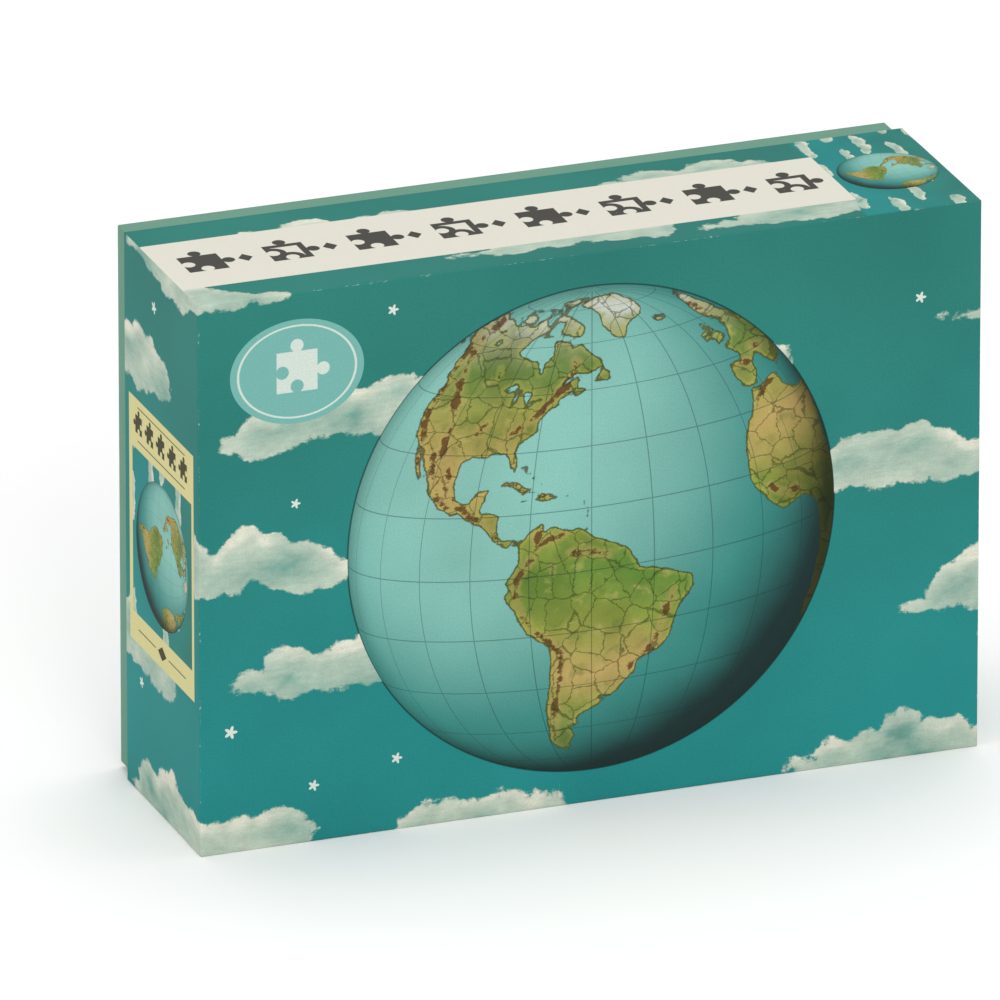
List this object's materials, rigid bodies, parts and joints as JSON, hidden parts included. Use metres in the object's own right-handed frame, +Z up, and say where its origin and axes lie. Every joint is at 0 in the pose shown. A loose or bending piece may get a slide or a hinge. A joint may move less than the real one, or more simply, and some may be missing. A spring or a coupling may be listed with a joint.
{
  "type": "boxed jigsaw puzzle",
  "caption": "Rigid telescoping box standing on its long side, with a printed lid over a plain base, holding a folded poster and a film bag of interlocking jigsaw pieces.",
  "frame": {"origin": "middle of the footprint of the closed box, at the surface it stands on", "axes": "+X along the box's long side, to the right as the picture panel is faced; +Y from the picture panel back to the base's panel; +Z up"},
  "size_m": [0.264, 0.08, 0.187],
  "materials": {
    "lid_print": "matte laminated picture print, sky teal with a globe and clouds",
    "base_wrap_paper": "matte sage-green wrap paper",
    "greyboard": "uncoated recycled greyboard",
    "stay_paper": "gummed kraft corner paper",
    "poster_print": "satin coated picture print",
    "clear_film": "clear polypropylene film",
    "piece_pile": "loose heap of die-cut pieces",
    "puzzle_piece": "linen-pressed print on grey chipboard"
  },
  "bodies": {
    "base": {"base_board": "greyboard", "base_wrap": "base_wrap_paper", "base_corner_stay_1": "stay_paper", "base_corner_stay_2": "stay_paper", "base_corner_stay_3": "stay_paper", "base_corner_stay_4": "stay_paper"},
    "bag": {"bag_film": "clear_film", "piece_pile": "piece_pile", "piece_joined_1": "puzzle_piece", "piece_joined_3": "puzzle_piece", "piece_joined_4": "puzzle_piece", "piece_joined_5": "puzzle_piece", "piece_joined_6": "puzzle_piece", "piece_loose_01": "puzzle_piece", "piece_loose_02": "puzzle_piece", "piece_loose_03": "puzzle_piece", "piece_loose_04": "puzzle_piece", "piece_loose_05": "puzzle_piece", "piece_loose_06": "puzzle_piece", "piece_loose_07": "puzzle_piece", "piece_loose_08": "puzzle_piece", "piece_loose_09": "puzzle_piece", "piece_loose_10": "puzzle_piece", "piece_loose_11": "puzzle_piece", "piece_loose_12": "puzzle_piece", "piece_loose_13": "puzzle_piece", "piece_loose_14": "puzzle_piece", "piece_loose_15": "puzzle_piece", "piece_loose_16": "puzzle_piece", "piece_loose_17": "puzzle_piece", "piece_loose_18": "puzzle_piece", "piece_loose_19": "puzzle_piece", "piece_loose_20": "puzzle_piece", "piece_loose_21": "puzzle_piece", "piece_loose_22": "puzzle_piece", "piece_loose_23": "puzzle_piece", "piece_loose_24": "puzzle_piece", "piece_loose_25": "puzzle_piece", "piece_loose_26": "puzzle_piece", "piece_loose_27": "puzzle_piece", "piece_loose_28": "puzzle_piece", "piece_loose_29": "puzzle_piece", "piece_loose_30": "puzzle_piece", "piece_loose_31": "puzzle_piece", "piece_loose_32": "puzzle_piece", "piece_loose_33": "puzzle_piece", "piece_loose_34": "puzzle_piece", "piece_loose_35": "puzzle_piece", "piece_loose_36": "puzzle_piece"},
    "joined_piece": {"piece_joined_2": "puzzle_piece"},
    "poster": {"poster_back_leaf": "poster_print"},
    "poster_leaf": {"poster_front_leaf": "poster_print"},
    "lid": {"lid_board": "greyboard", "lid_wrap": "lid_print", "lid_corner_stay_1": "stay_paper", "lid_corner_stay_2": "stay_paper", "lid_corner_stay_3": "stay_paper", "lid_corner_stay_4": "stay_paper"}
  },
  "joints": [
    {"name": "bag_lift", "type": "slide", "parent": "base", "child": "bag", "axis": [0, -1, 0], "range_m": [0, 0.09]},
    {"name": "joined_piece_lift", "type": "slide", "parent": "bag", "child": "joined_piece", "axis": [0.0698, 0, 0.9976], "range_m": [0, 0.006]},
    {"name": "poster_lift", "type": "slide", "parent": "bag", "child": "poster", "axis": [0, -1, 0], "range_m": [0, 0.05]},
    {"name": "poster_unfold", "type": "hinge", "parent": "poster", "child": "poster_leaf", "pos_m": [0, -0.03569, 0.00378], "axis": [1, 0, 0], "range_deg": [0, 40]},
    {"name": "lid_lift", "type": "slide", "parent": "poster", "child": "lid", "axis": [0, -1, 0], "range_m": [0, 0.15]}
  ],
  "couplings": [
    {"joint": "poster_unfold", "follows": "lid_lift", "rad_per_m": 4.5}
  ]
}
